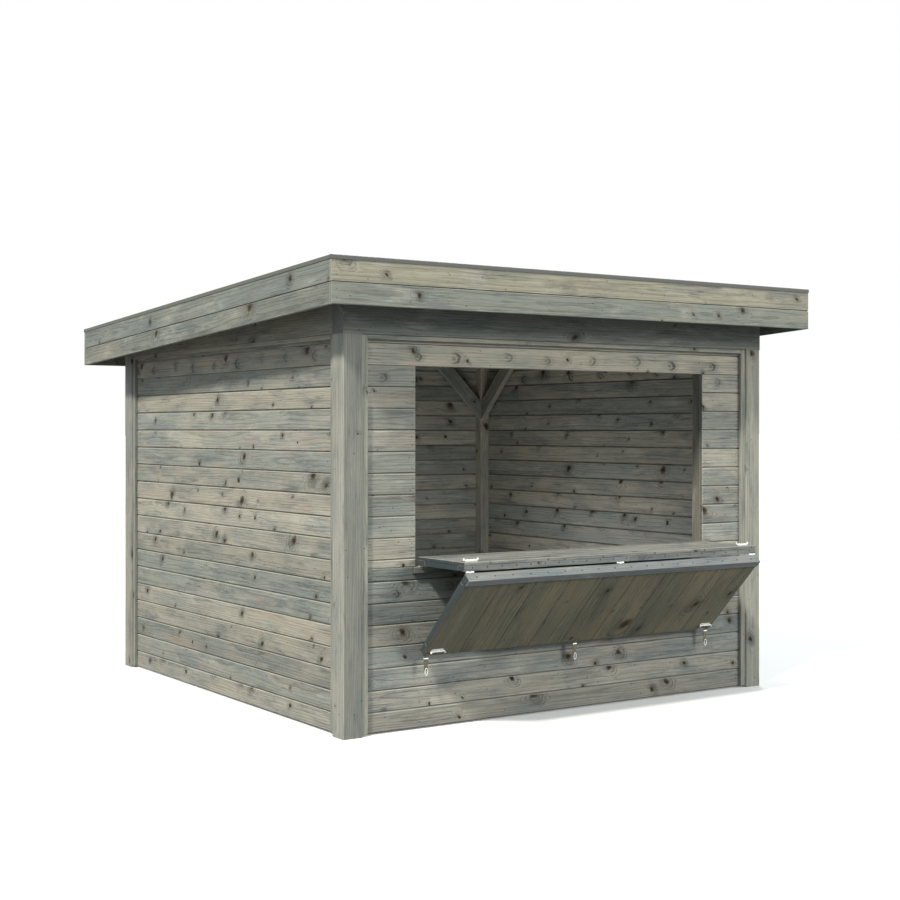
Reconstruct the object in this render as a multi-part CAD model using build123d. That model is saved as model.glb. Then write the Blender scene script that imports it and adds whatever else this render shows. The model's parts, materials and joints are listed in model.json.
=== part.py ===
from build123d import *
import math
import os

os.makedirs("parts", exist_ok=True)

# Timber market stall: four posts, boarded walls, a pent roof and a fold-out counter with a flap.
# +X runs along the front to the right, +Y to the back, +Z up. Lengths are millimetres.

# Plan and posts
WIDTH = 3020.0
DEPTH = 3020.0
POST = 120.0
POST_EDGE = 5.0

# Boarded walls, set back from the post faces
BOARD = 20.0
RECESS = 30.0
WALL_FOOT = 10.0
HEADER_HIGH = 162.0

# Cover strips round each wall bay
STRIP_WIDE = 35.0
STRIP_THICK = 20.0
STRIP_HEAD_HIGH = 28.0
BUTT_GAP = 1.0

# Ring beam and knee braces
BEAM_FRONT_HIGH = 244.0
BRACE_RUN = 417.0
BRACE_THICK = 45.0
BRACE_DEEP = 95.0

# Serving opening between two narrow front walls, its head at a joint of the boards
FRONT_SIDE = 345.0
SILL = 876.0
HEAD = 1955.0
STUD_WIDE = 45.0
LEDGER_HIGH = 34.0
LEDGER_DEEP = 24.0
LEDGER_PAST = 30.0

# Pent roof falling to the back
EAVES = 225.0
REAR_EAVES = 252.0
VERGE = 195.0
FALL_SHARE = 0.052
EDGE_HIGH = 21.0
EDGE_PROUD = 3.0
FASCIA = 20.0
FASCIA_HIGH = 227.0
COVER = 4.0
DECK = 20.0
RAFTER_WIDE = 45.0
RAFTER_DEEP = 95.0
RIM = 45.0

# Counter and flap leaves, which close the opening when they are folded up
LEAF_GAP = 6.0
HEAD_GAP = 8.0
REAR_GAP = 6.0
FOLD_GAP = 3.0
LEAF_BOARD = 18.0
LEAF_FRAME = 28.0
LEAF_RAIL = 60.0
COUNTER_SHARE = 0.4124
FLAP_REST = 35.0
FLAP_BATTEN_WIDE = 40.0
FLAP_BATTEN = 8.0

# Zinc hinges
PIN = 2.2
PIN_PLAY = 0.05
KNUCKLE = 4.0
KNUCKLE_PLAY = 1.0
HINGE_PLATE = 2.0
HINGE_LEAF = 30.0
HINGE_LONG = 48.0
HINGE_INSET = 32.0
AXIS_OUT = 12.0

# Zinc bolts and hasps
BOLT_LONG = 100.0
BOLT_WIDE = 12.0
BOLT_BAR = 6.0
BOLT_LIFT = 16.0
BOLT_BACK = 42.0
BOLT_INSET = 18.0
HASP_WIDE = 28.0
HASP_LONG = 92.0
HASP_PLATE = 2.5
HASP_INSET = 24.0
HASP_REACH = 20.0

# Derived lines
HALF_W = WIDTH / 2
BAY = HALF_W - POST
BEAM_FOOT = HEAD + HEADER_HIGH
BRACE_FOOT = BEAM_FOOT - BRACE_RUN
HALF_OPEN = BAY - FRONT_SIDE
WALL_IN = RECESS + BOARD
HALF_ROOF = HALF_W + VERGE
ROOF_FRONT = -EAVES
ROOF_REAR = DEPTH + REAR_EAVES
BEAM_DOWN = COVER + DECK + RAFTER_DEEP
ROOF_TOP = BEAM_FOOT + BEAM_FRONT_HIGH + BEAM_DOWN + EAVES * FALL_SHARE

# The counter turns on an axis above the ledger, the flap on an axis under the front of the counter
KNUCKLE_OFF = KNUCKLE + KNUCKLE_PLAY
AXIS_Y = RECESS - AXIS_OUT
AXIS_Z = SILL + HINGE_PLATE + KNUCKLE_OFF
HALF_LEAF = HALF_OPEN - LEAF_GAP
COUNTER_DEEP = (HEAD - SILL) * COUNTER_SHARE
LEAF_OUT = HINGE_PLATE
LEAF_MID = LEAF_OUT + LEAF_FRAME
LEAF_IN = LEAF_MID + LEAF_BOARD
FOLD_OUT = KNUCKLE_OFF
FOLD_Y = AXIS_Y - COUNTER_DEEP - FOLD_GAP
FOLD_Z = AXIS_Z + LEAF_OUT - FOLD_OUT
FLAP_END = HEAD - HEAD_GAP - AXIS_Z - COUNTER_DEEP - FOLD_GAP
FLAP_MID = FOLD_OUT + LEAF_FRAME
FLAP_IN = FLAP_MID + LEAF_BOARD
FLAP_RUN = RECESS - FLAP_REST - FOLD_Y
DROP = math.acos(FLAP_RUN / math.hypot(FLAP_END, FOLD_OUT)) - math.atan2(FOLD_OUT, FLAP_END)


def roof_line(y, down):
    """Height of a line that lies a depth below the roof face, at a place along the depth."""
    return ROOF_TOP - (y + EAVES) * FALL_SHARE - down


def flap_point(along, inward):
    """A point of the hanging flap, from the fold axis to the free edge and in from the outer face."""
    y = FOLD_Y + along * math.cos(DROP) - inward * math.sin(DROP)
    z = FOLD_Z - along * math.sin(DROP) - inward * math.cos(DROP)
    return (y, z)


# The origin is the middle of the plan box, which runs from the flap to the rear roof edge
REACH = flap_point(FOLD_GAP, FLAP_IN + FLAP_BATTEN)[0]
MIDDLE = (REACH + ROOF_REAR + EDGE_PROUD) / 2


def prism(points, x0, x1):
    """A YZ outline carried along X."""
    rim = Wire.make_polygon([Vector(x0, y - MIDDLE, z) for y, z in points], close=True)
    return Solid.extrude(Face(rim), Vector(x1 - x0, 0, 0))


def block(x0, x1, y0, y1, z0, z1):
    return prism([(y0, z0), (y1, z0), (y1, z1), (y0, z1)], x0, x1)


def sloped(x0, x1, y0, y1, down, deep):
    """A bar along the roof fall, plumb at its ends."""
    return prism([(y0, roof_line(y0, down + deep)), (y1, roof_line(y1, down + deep)),
                  (y1, roof_line(y1, down)), (y0, roof_line(y0, down))], x0, x1)


def topped(x0, x1, y0, y1):
    """A beam with a level foot and its top cut to the rafters."""
    return prism([(y0, BEAM_FOOT), (y1, BEAM_FOOT),
                  (y1, roof_line(y1, BEAM_DOWN)), (y0, roof_line(y0, BEAM_DOWN))], x0, x1)


def leaf(x0, x1, along0, along1, in0, in1):
    """A counter piece: along is from the wall axis to the front, in is up while the counter is open."""
    return block(x0, x1, AXIS_Y - along1, AXIS_Y - along0, AXIS_Z + in0, AXIS_Z + in1)


def flap(x0, x1, along0, along1, in0, in1):
    """A flap piece, laid out like a counter piece but from the fold axis."""
    return prism([flap_point(along0, in0), flap_point(along1, in0),
                  flap_point(along1, in1), flap_point(along0, in1)], x0, x1)


def rod(x0, x1, y, z, radius):
    plane = Plane(origin=(x0, y - MIDDLE, z), x_dir=(0, 1, 0), z_dir=(1, 0, 0))
    return Solid.make_cylinder(radius, x1 - x0, plane)


def mirrored(shape):
    return shape.mirror(Plane.YZ)


def out(name, *solids):
    whole = Compound(label=name, children=list(solids)) if len(solids) > 1 else solids[0]
    export_step(whole, "parts/" + name + ".step")


# Corner posts with eased long edges
def post(x0, y0):
    raw = block(x0, x0 + POST, y0, y0 + POST, 0, BEAM_FOOT)
    return raw.fillet(POST_EDGE, raw.edges().filter_by(Axis.Z))


out("post_front_left", post(-HALF_W, 0))
out("post_front_right", post(BAY, 0))
out("post_rear_left", post(-HALF_W, DEPTH - POST))
out("post_rear_right", post(BAY, DEPTH - POST))

# Ring beam on the post heads
out("beam_front", topped(-HALF_W, HALF_W, 0, POST))
out("beam_rear", topped(-HALF_W, HALF_W, DEPTH - POST, DEPTH))
out("beam_left", topped(-HALF_W, -BAY, POST, DEPTH - POST))
out("beam_right", topped(BAY, HALF_W, POST, DEPTH - POST))

# Knee braces between post and beam, flush with the inner faces
BRACE_CUT = BRACE_DEEP * math.sqrt(2)
BRACE_PATH = [(0, BRACE_FOOT), (BRACE_RUN, BEAM_FOOT),
              (BRACE_RUN - BRACE_CUT, BEAM_FOOT), (0, BRACE_FOOT + BRACE_CUT)]


def side_braces(x0):
    front = [(POST + run, z) for run, z in BRACE_PATH]
    rear = [(DEPTH - POST - run, z) for run, z in BRACE_PATH]
    return [prism(front, x0, x0 + BRACE_THICK), prism(rear, x0, x0 + BRACE_THICK)]


def back_brace():
    y = DEPTH - POST - MIDDLE
    rim = Wire.make_polygon([Vector(BAY - run, y, z) for run, z in BRACE_PATH], close=True)
    return Solid.extrude(Face(rim), Vector(0, BRACE_THICK, 0))


out("braces_left", *side_braces(-BAY - BRACE_THICK))
out("braces_right", *side_braces(BAY))
out("braces_back", back_brace(), mirrored(back_brace()))

# Boarded walls between the posts
out("wall_left", block(RECESS - HALF_W, WALL_IN - HALF_W, POST, DEPTH - POST, WALL_FOOT, BEAM_FOOT))
out("wall_right", block(HALF_W - WALL_IN, HALF_W - RECESS, POST, DEPTH - POST, WALL_FOOT, BEAM_FOOT))
out("wall_back", block(-BAY, BAY, DEPTH - WALL_IN, DEPTH - RECESS, WALL_FOOT, BEAM_FOOT))
out("wall_front_below", block(-BAY, BAY, RECESS, WALL_IN, WALL_FOOT, SILL))
wall_front_side = block(HALF_OPEN, BAY, RECESS, WALL_IN, SILL, HEAD)
out("wall_front_sides", wall_front_side, mirrored(wall_front_side))
out("wall_front_header", block(-BAY, BAY, RECESS, WALL_IN, HEAD, BEAM_FOOT))

# Cover strips: two uprights and a head strip on each bay
STRIP_OUT = RECESS - STRIP_THICK
STRIP_FOOT = BEAM_FOOT - STRIP_HEAD_HIGH
STRIP_IN = STRIP_WIDE + BUTT_GAP


def side_strips(x0):
    x1 = x0 + STRIP_THICK
    near = POST
    far = DEPTH - POST
    return [block(x0, x1, near, near + STRIP_WIDE, WALL_FOOT, BEAM_FOOT),
            block(x0, x1, far - STRIP_WIDE, far, WALL_FOOT, BEAM_FOOT),
            block(x0, x1, near + STRIP_IN, far - STRIP_IN, STRIP_FOOT, BEAM_FOOT)]


def cross_strips(y0):
    y1 = y0 + STRIP_THICK
    upright = block(BAY - STRIP_WIDE, BAY, y0, y1, WALL_FOOT, BEAM_FOOT)
    return [upright, mirrored(upright), block(STRIP_IN - BAY, BAY - STRIP_IN, y0, y1, STRIP_FOOT, BEAM_FOOT)]


out("strips_left", *side_strips(STRIP_OUT - HALF_W))
out("strips_right", *side_strips(HALF_W - RECESS))
out("strips_back", *cross_strips(DEPTH - RECESS))
out("strips_front", *cross_strips(STRIP_OUT))

# Studs behind the boards at both sides of the opening, and the ledger that carries the counter
stud = block(HALF_OPEN, HALF_OPEN + STUD_WIDE, WALL_IN, POST, WALL_FOOT, BEAM_FOOT)
out("studs", stud, mirrored(stud))
LEDGER_HALF = HALF_LEAF + LEDGER_PAST
LEDGER_Y = RECESS - LEDGER_DEEP
out("counter_ledger", block(-LEDGER_HALF, LEDGER_HALF, LEDGER_Y, RECESS, SILL - LEDGER_HIGH, SILL))

# Roof frame: rafters from front to back, rim boards across their ends, deck boards and cover on top
RIM_FRONT = ROOF_FRONT + FASCIA
RIM_REAR = ROOF_REAR - FASCIA
RIM_HALF = HALF_ROOF - FASCIA
RAFTER_DOWN = COVER + DECK
RAFTER_X = HALF_W - POST / 2
VERGE_X = RIM_HALF - RAFTER_WIDE / 2
RAFTER_SHARES = (-1.0, -1 / 3, 1 / 3, 1.0)


def rafter(x):
    x0 = x - RAFTER_WIDE / 2
    return sloped(x0, x0 + RAFTER_WIDE, RIM_FRONT + RIM, RIM_REAR - RIM, RAFTER_DOWN, RAFTER_DEEP)


out("rafters", *[rafter(share * RAFTER_X) for share in RAFTER_SHARES])
out("verge_rafters", rafter(-VERGE_X), rafter(VERGE_X))
out("roof_rims", sloped(-RIM_HALF, RIM_HALF, RIM_FRONT, RIM_FRONT + RIM, RAFTER_DOWN, RAFTER_DEEP),
    sloped(-RIM_HALF, RIM_HALF, RIM_REAR - RIM, RIM_REAR, RAFTER_DOWN, RAFTER_DEEP))
out("roof_deck", sloped(-RIM_HALF, RIM_HALF, RIM_FRONT, RIM_REAR, COVER, DECK))
out("roof_cover", sloped(-RIM_HALF, RIM_HALF, RIM_FRONT, RIM_REAR, 0, COVER))

# Fascia boards round the roof, and the edge strip on top of them
FASCIA_TOP = ROOF_TOP - EDGE_HIGH
REAR_TOP = roof_line(ROOF_REAR, EDGE_HIGH)
out("fascia_front", block(-HALF_ROOF, HALF_ROOF, ROOF_FRONT, RIM_FRONT, FASCIA_TOP - FASCIA_HIGH, FASCIA_TOP))
out("fascia_rear", block(-HALF_ROOF, HALF_ROOF, RIM_REAR, ROOF_REAR, REAR_TOP - FASCIA_HIGH, REAR_TOP))
fascia_side = sloped(RIM_HALF, HALF_ROOF, RIM_FRONT, RIM_REAR, EDGE_HIGH, FASCIA_HIGH)
out("fascia_sides", fascia_side, mirrored(fascia_side))
EDGE_HALF = HALF_ROOF + EDGE_PROUD
out("roof_edge_ends", block(-EDGE_HALF, EDGE_HALF, ROOF_FRONT - EDGE_PROUD, RIM_FRONT, FASCIA_TOP, ROOF_TOP),
    block(-EDGE_HALF, EDGE_HALF, RIM_REAR, ROOF_REAR + EDGE_PROUD, REAR_TOP, REAR_TOP + EDGE_HIGH))
edge_side = sloped(RIM_HALF, EDGE_HALF, RIM_FRONT, RIM_REAR, 0, EDGE_HIGH)
out("roof_edge_sides", edge_side, mirrored(edge_side))


# Leaves: boards on a frame of four rails, the outer side being the frame
def frame_rails(maker, start, end, in0, in1):
    cross = maker(HALF_LEAF - LEAF_RAIL, HALF_LEAF, start + LEAF_RAIL + BUTT_GAP,
                  end - LEAF_RAIL - BUTT_GAP, in0, in1)
    return [maker(-HALF_LEAF, HALF_LEAF, start, start + LEAF_RAIL, in0, in1),
            maker(-HALF_LEAF, HALF_LEAF, end - LEAF_RAIL, end, in0, in1), cross, mirrored(cross)]


out("counter_boards", leaf(-HALF_LEAF, HALF_LEAF, REAR_GAP, COUNTER_DEEP, LEAF_MID, LEAF_IN))
out("counter_frame", *frame_rails(leaf, REAR_GAP, COUNTER_DEEP, LEAF_OUT, LEAF_MID))
out("flap_boards", flap(-HALF_LEAF, HALF_LEAF, FOLD_GAP, FLAP_END, FLAP_MID, FLAP_IN))
out("flap_frame", *frame_rails(flap, FOLD_GAP, FLAP_END, FOLD_OUT, FLAP_MID))
out("flap_batten", flap(-HALF_LEAF, HALF_LEAF, FOLD_GAP, FOLD_GAP + FLAP_BATTEN_WIDE,
                        FLAP_IN, FLAP_IN + FLAP_BATTEN))

# Hinges: one leaf holds the pin in its end knuckles, the other turns on it with the middle one
HINGE_X = HALF_LEAF - HINGE_INSET
HINGE_SHARES = (-1.0, 0.0, 1.0)
HINGE_XS = [share * HINGE_X for share in HINGE_SHARES]
HALF_HINGE = HINGE_LONG / 2
HALF_TUBE = HALF_HINGE / 3


def end_spans(x):
    reach = HALF_TUBE + KNUCKLE_PLAY
    return [(x - HALF_HINGE, x - reach), (x + reach, x + HALF_HINGE)]


def pin_and_ends(x, y, z):
    shape = rod(x - HALF_HINGE, x + HALF_HINGE, y, z, PIN)
    for x0, x1 in end_spans(x):
        shape = shape + rod(x0, x1, y, z, KNUCKLE)
    return shape


def bored(shape, x, y, z):
    tube = rod(x - HALF_TUBE, x + HALF_TUBE, y, z, KNUCKLE)
    return shape + tube - rod(x - HALF_HINGE, x + HALF_HINGE, y, z, PIN + PIN_PLAY)


def wall_hinge(x):
    shape = pin_and_ends(x, AXIS_Y, AXIS_Z)
    shape = shape + block(x - HALF_HINGE, x + HALF_HINGE, LEDGER_Y, RECESS, SILL, SILL + HINGE_PLATE)
    for x0, x1 in end_spans(x):
        shape = shape + block(x0, x1, AXIS_Y - PIN, AXIS_Y + PIN, SILL, AXIS_Z)
    return shape


def counter_hinge(x):
    plate = leaf(x - HALF_HINGE, x + HALF_HINGE, KNUCKLE_OFF, KNUCKLE_OFF + HINGE_LEAF, 0, LEAF_OUT)
    web = leaf(x - HALF_TUBE, x + HALF_TUBE, 0, KNUCKLE_OFF, 0, LEAF_OUT)
    return bored(plate + web, x, AXIS_Y, AXIS_Z)


def fold_hinge(x):
    axis = COUNTER_DEEP + FOLD_GAP
    start = axis - KNUCKLE_OFF
    shape = pin_and_ends(x, FOLD_Y, FOLD_Z)
    shape = shape + leaf(x - HALF_HINGE, x + HALF_HINGE, start - HINGE_LEAF, start, 0, LEAF_OUT)
    for x0, x1 in end_spans(x):
        shape = shape + leaf(x0, x1, start, axis, LEAF_OUT - FOLD_OUT, LEAF_OUT)
    return shape


def flap_hinge(x):
    face = FOLD_OUT - HINGE_PLATE
    plate = flap(x - HALF_HINGE, x + HALF_HINGE, KNUCKLE_OFF, KNUCKLE_OFF + HINGE_LEAF, face, FOLD_OUT)
    web = flap(x - HALF_TUBE, x + HALF_TUBE, 0, KNUCKLE_OFF, 0, FOLD_OUT)
    return bored(plate + web, x, FOLD_Y, FOLD_Z)


out("wall_hinges", *[wall_hinge(x) for x in HINGE_XS])
out("counter_hinges", *[counter_hinge(x) for x in HINGE_XS])
out("fold_hinges", *[fold_hinge(x) for x in HINGE_XS])
out("flap_hinges", *[flap_hinge(x) for x in HINGE_XS])


# Bolts: a bar on two feet near the ends of each leaf
def bolt(maker, along, face):
    x1 = HALF_LEAF - BOLT_INSET
    x0 = x1 - BOLT_LONG
    top = face + BOLT_LIFT
    near = along - BOLT_WIDE / 2
    far = along + BOLT_WIDE / 2
    shape = maker(x0, x1, near, far, top - BOLT_BAR, top)
    shape = shape + maker(x0, x0 + BOLT_WIDE, near, far, face, top)
    return shape + maker(x1 - BOLT_WIDE, x1, near, far, face, top)


counter_bolt = bolt(leaf, COUNTER_DEEP - BOLT_BACK, LEAF_IN)
out("counter_bolts", counter_bolt, mirrored(counter_bolt))
flap_bolt = bolt(flap, FLAP_END - BOLT_BACK, FLAP_IN)
out("flap_bolts", flap_bolt, mirrored(flap_bolt))


# Hasps: a plate on the inner face reaches past the free edge and the strap hangs plumb from it
def hasp(x):
    x0 = x - HASP_WIDE / 2
    x1 = x + HASP_WIDE / 2
    tip = FLAP_END + HASP_REACH
    y, z = flap_point(tip, FLAP_IN + HASP_PLATE / 2)
    plate = flap(x0, x1, FLAP_END - HASP_REACH, tip, FLAP_IN, FLAP_IN + HASP_PLATE)
    strap = block(x0, x1, y - HASP_PLATE / 2, y + HASP_PLATE / 2, z - HASP_LONG, z)
    return plate + rod(x0, x1, y, z, KNUCKLE) + strap


HASP_X = HALF_LEAF - HASP_INSET
out("flap_hasps", *[hasp(share * HASP_X) for share in HINGE_SHARES])
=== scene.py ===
import json
import math
import random
import bpy
import bmesh
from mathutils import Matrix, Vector


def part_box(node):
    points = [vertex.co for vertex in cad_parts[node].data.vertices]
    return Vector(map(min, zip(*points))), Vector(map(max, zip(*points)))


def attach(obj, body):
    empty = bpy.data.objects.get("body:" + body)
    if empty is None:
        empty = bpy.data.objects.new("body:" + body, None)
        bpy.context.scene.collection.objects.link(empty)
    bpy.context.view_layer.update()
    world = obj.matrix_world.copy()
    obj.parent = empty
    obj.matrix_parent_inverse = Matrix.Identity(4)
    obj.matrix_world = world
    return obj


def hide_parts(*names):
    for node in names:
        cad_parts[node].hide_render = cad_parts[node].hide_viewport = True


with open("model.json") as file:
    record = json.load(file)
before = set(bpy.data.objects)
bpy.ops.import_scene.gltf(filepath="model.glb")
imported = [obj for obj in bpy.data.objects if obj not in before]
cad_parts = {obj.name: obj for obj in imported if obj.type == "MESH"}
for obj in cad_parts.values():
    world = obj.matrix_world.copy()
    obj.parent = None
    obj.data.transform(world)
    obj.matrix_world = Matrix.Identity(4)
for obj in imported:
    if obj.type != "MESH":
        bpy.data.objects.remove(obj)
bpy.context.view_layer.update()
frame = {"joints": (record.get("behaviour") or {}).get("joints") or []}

# POSTS
# Four square spruce posts, planed with eased long edges and left to weather to a grey beige.
# They stand on the ground and carry the ring beam.
RIGHT = Vector((1, 0, 0))
BACK = Vector((0, 1, 0))
UP = Vector((0, 0, 1))
AXES = (RIGHT, BACK, UP)


def linear(red, green, blue):
    """A screen colour, 0 to 255, as scene light."""
    def one(level):
        share = level / 255
        return share / 12.92 if share <= 0.04045 else ((share + 0.055) / 1.055) ** 2.4
    return (one(red), one(green), one(blue), 1.0)


class Ink:
    """A socket of a shader. Arithmetic on it adds Math nodes, and node() adds any other node."""

    def __init__(self, tree, socket):
        self.tree = tree
        self.socket = socket

    def node(self, kind, settings, inputs, output=0):
        made = self.tree.nodes.new(kind)
        for key, value in settings.items():
            setattr(made, key, value)
        for key, value in inputs.items():
            if isinstance(value, Ink):
                self.tree.links.new(value.socket, made.inputs[key])
            else:
                made.inputs[key].default_value = value
        return Ink(self.tree, made.outputs[output])

    def feed(self, socket):
        """Joins this value to a socket of a surface or background."""
        self.tree.links.new(self.socket, socket)

    def attribute(self, name, output="Fac"):
        return self.node("ShaderNodeAttribute", {"attribute_name": name}, {}, output)

    def chance(self):
        """Three random values for this number."""
        return self.node("ShaderNodeTexWhiteNoise", {"noise_dimensions": "1D"}, {"W": self}, "Color")

    def math(self, operation, first, second=0.0):
        return self.node("ShaderNodeMath", {"operation": operation}, {0: first, 1: second})

    def __add__(self, other):
        return self.math("ADD", self, other)

    def __radd__(self, other):
        return self.math("ADD", other, self)

    def __sub__(self, other):
        return self.math("SUBTRACT", self, other)

    def __rsub__(self, other):
        return self.math("SUBTRACT", other, self)

    def __mul__(self, other):
        return self.math("MULTIPLY", self, other)

    def __rmul__(self, other):
        return self.math("MULTIPLY", other, self)

    def __truediv__(self, other):
        return self.math("DIVIDE", self, other)

    def __pow__(self, other):
        return self.math("POWER", self, other)

    def sine(self):
        return self.math("SINE", self)

    def step(self, low, high):
        """0 below low, 1 above high, smooth between."""
        return self.node("ShaderNodeMapRange", {"interpolation_type": "SMOOTHSTEP"},
                         {"Value": self, "From Min": low, "From Max": high})

    def vector(self, x, y, z):
        return self.node("ShaderNodeCombineXYZ", {}, {0: x, 1: y, 2: z})

    def noise(self, place, detail=2.0, rough=0.5):
        return self.node("ShaderNodeTexNoise", {},
                         {"Vector": place, "Scale": 1.0, "Detail": detail, "Roughness": rough})

    def speckle(self, x, y, z, detail, rough=0.5):
        """Noise over this place, its three parts scaled."""
        return self.noise(self.vector(self.part(0) * x, self.part(1) * y, self.part(2) * z), detail, rough)

    def cells(self, place, output):
        return self.node("ShaderNodeTexVoronoi", {"voronoi_dimensions": "2D"},
                         {"Vector": place, "Scale": 1.0}, output)

    def part(self, index):
        """One of the three values of a vector or colour."""
        return self.node("ShaderNodeSeparateXYZ", {}, {0: self}, index)

    def mix(self, first, second):
        """From the first colour to the second, by this value."""
        return self.node("ShaderNodeMix", {"data_type": "RGBA"}, {0: self, 6: first, 7: second}, 2)

    def shade(self, colour):
        """A colour times this value."""
        plain = colour if isinstance(colour, Ink) else colour[:3]
        return self.node("ShaderNodeVectorMath", {"operation": "SCALE"}, {0: plain, "Scale": self})


def material(name, metallic):
    made = bpy.data.materials.new(name)
    made.use_nodes = True
    surface = made.node_tree.nodes["Principled BSDF"]
    surface.inputs["Metallic"].default_value = metallic
    ink = Ink(made.node_tree, surface.outputs[0])
    return made, surface, ink.attribute("grain", "Vector"), ink.attribute("tone")


def finish(surface, colour, rough, height, strength, distance):
    """Joins colour, roughness and bump to the surface."""
    bump = height.node("ShaderNodeBump", {}, {"Height": height, "Strength": strength, "Distance": distance})
    colour.feed(surface.inputs["Base Color"])
    rough.feed(surface.inputs["Roughness"])
    bump.feed(surface.inputs["Normal"])


EYE_PITCH = 0.31
EYE_OFF = 9.0


def wood(name, light, cool, blue, pink, knot_share=0.4, cool_share=0.5, spread=1.0, ends=0.0,
         knot_size=0.085, bleach=0.4):
    """Weathered softwood: growth rings bent round knots, grey and blue patches; eased edges facing up are
    paler, partly wear and partly a painted highlight, and eased edges facing down get painted shade; faces
    flagged as ends (across the grain, or across a chosen axis) are mixed to dark blue-grey by ends.
    """
    light, cool, blue, pink = linear(*light), linear(*cool), linear(*blue), linear(*pink)
    # place in the grain, and the stick's own luck
    made, surface, place, tone = material(name, 0.0)
    x, y, z = place.part(0), place.part(1), place.part(2)
    edge_wear_and_light, end, across = x.attribute("edge_wear_and_light"), x.attribute("end"), x.attribute("across")
    face = y - 1.31 * z
    own = (tone * 977.0).chance()
    first, second, third = own.part(0), own.part(1), own.part(2)
    drift = x.noise(x.vector(x * 1.3, face * 7.0, tone * 30.0), 2.0) - 0.5
    wander = x.noise(x.vector(x * 21.0, face * 30.0, tone * 12.0), 4.0, 0.6) - 0.5
    # knots, some with arcs on one side
    spot = x.vector(x * 3.9 + face * 1.6 + wander * 0.13, face * 4.2 + wander * 0.20, 0.0)
    far = x.cells(spot, "Distance")
    pick = x.cells(spot, "Color")
    there = pick.part(0).step(1.0 - knot_share, 1.02 - knot_share)
    size = 0.026 + knot_size * pick.part(1) ** 3.0
    near = far / size
    core = there * (1.0 - near.step(0.8, 1.15))
    heart = there * (1.0 - near.step(0.3, 0.75))
    halo = there * (1.0 - near.step(0.8, 4.5))
    side = (spot.part(0) - x.cells(spot, "Position").part(0)) / size
    eye = there * pick.part(2).step(0.5, 0.52) * near.step(1.0, 1.4) * (1.0 - near.step(2.6, 3.8))
    eye = eye * side.step(-0.6, 1.2)
    arcs = eye * ((near * 6.5).sine() * 0.5 + 0.5) ** 2.0
    # a row of eyes along the middle of an eyed board
    cell = x.math("FLOOR", x / EYE_PITCH)
    luck = (cell + tone * 31.0).chance()
    ahead = x - (cell + 0.35 + 0.3 * luck.part(0)) * EYE_PITCH + wander * 0.040
    aside = across + (luck.part(1) - 0.5) * 0.03 + wander * 0.024
    stretch = 0.036 + 0.016 * luck.part(2)
    within = ((ahead * ahead) * 0.36 + aside * aside) ** 0.5 / stretch
    bow = (within * 15.0).sine() * 0.5 + 0.5
    row = (1.0 - within.step(0.45, 1.1)) * (0.12 + 0.88 * ahead.step(-0.03, 0.03)) * (0.25 + 0.75 * bow)
    row = row * (0.5 + 0.5 * luck.part(1))
    # growth rings, fibres, patches, cracks and specks
    radius = (y * y + z * z) ** 0.5 + drift * 0.035 + wander * 0.004 - halo * 0.030
    ring = ((radius * 520.0).sine() * 0.5 + 0.5) ** 5.0
    thin = ((radius * 1500.0).sine() * 0.5 + 0.5) ** 3.0
    fibre = x.noise(x.vector(x * 11.0, y * 480.0, z * 480.0), 3.0, 0.65)
    streak = x.noise(x.vector(x * 3.0, y * 170.0, z * 170.0), 4.0, 0.7).step(0.28, 0.72)
    patch = x.noise(x.vector(x * 1.9, face * 6.0, tone * 55.0), 4.0, 0.6)
    stain = x.noise(x.vector(x * 2.8, face * 9.0, tone * 71.0 + 9.0), 5.0, 0.62)
    blush = x.noise(x.vector(x * 2.4, face * 30.0, tone * 43.0 + 4.0), 4.0, 0.7)
    wear = x.noise(x.vector(x * 3.0, face * 10.0, tone * 87.0 + 2.0), 5.0, 0.66)
    split = x.noise(x.vector(x * 1.6, y * 46.0, z * 46.0), 3.0, 0.6) - 0.5
    crack = (1.0 - x.math("ABSOLUTE", split).step(0.0, 0.028)) * stain.step(0.42, 0.62)
    speck_place = x.vector(x * 14.0, face * 12.0, 0.0)
    speck_far = x.cells(speck_place, "Distance")
    speck_pick = x.cells(speck_place, "Color")
    speck = speck_pick.part(0).step(0.84, 0.86) * (1.0 - speck_far.step(0.03, 0.06))
    # colour, from the wood to the marks upon it
    grey = (patch * 1.7 + (first - 0.5) * 1.0 * spread - 0.55 + cool_share * 0.6).step(0.1, 0.8)
    colour = grey.mix(light, cool)
    colour = (stain.step(0.44, 0.72) * 0.6).mix(colour, blue)
    colour = (blush.step(0.50, 0.70) * (0.15 + 0.55 * third)).mix(colour, pink)
    colour = (wear.step(0.52, 0.72) * bleach).mix(colour, linear(196, 194, 182))
    level = (1.0 + (second - 0.5) * 0.30 * spread) * (0.84 + 0.28 * streak) * (0.76 + 0.46 * fibre)
    level = level * (1.05 - ring * (0.22 + 0.10 * halo)) * (1.03 - thin * 0.10) * (1.0 - crack * 0.30)
    colour = level.shade(colour)
    smear = there * (1.0 - near.step(0.9, 3.6)) * stain.step(0.36, 0.60)
    colour = (smear * 0.6).mix(colour, linear(84, 84, 77))
    colour = (arcs * 0.55).mix(colour, linear(78, 82, 80))
    colour = (row * 0.95).mix(colour, linear(58, 62, 60))
    colour = (core * 0.9).mix(colour, linear(84, 73, 58))
    colour = (heart * (0.6 + 0.4 * streak)).mix(colour, linear(30, 28, 25))
    colour = (speck * 0.85).mix(colour, linear(38, 35, 30))
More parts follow.
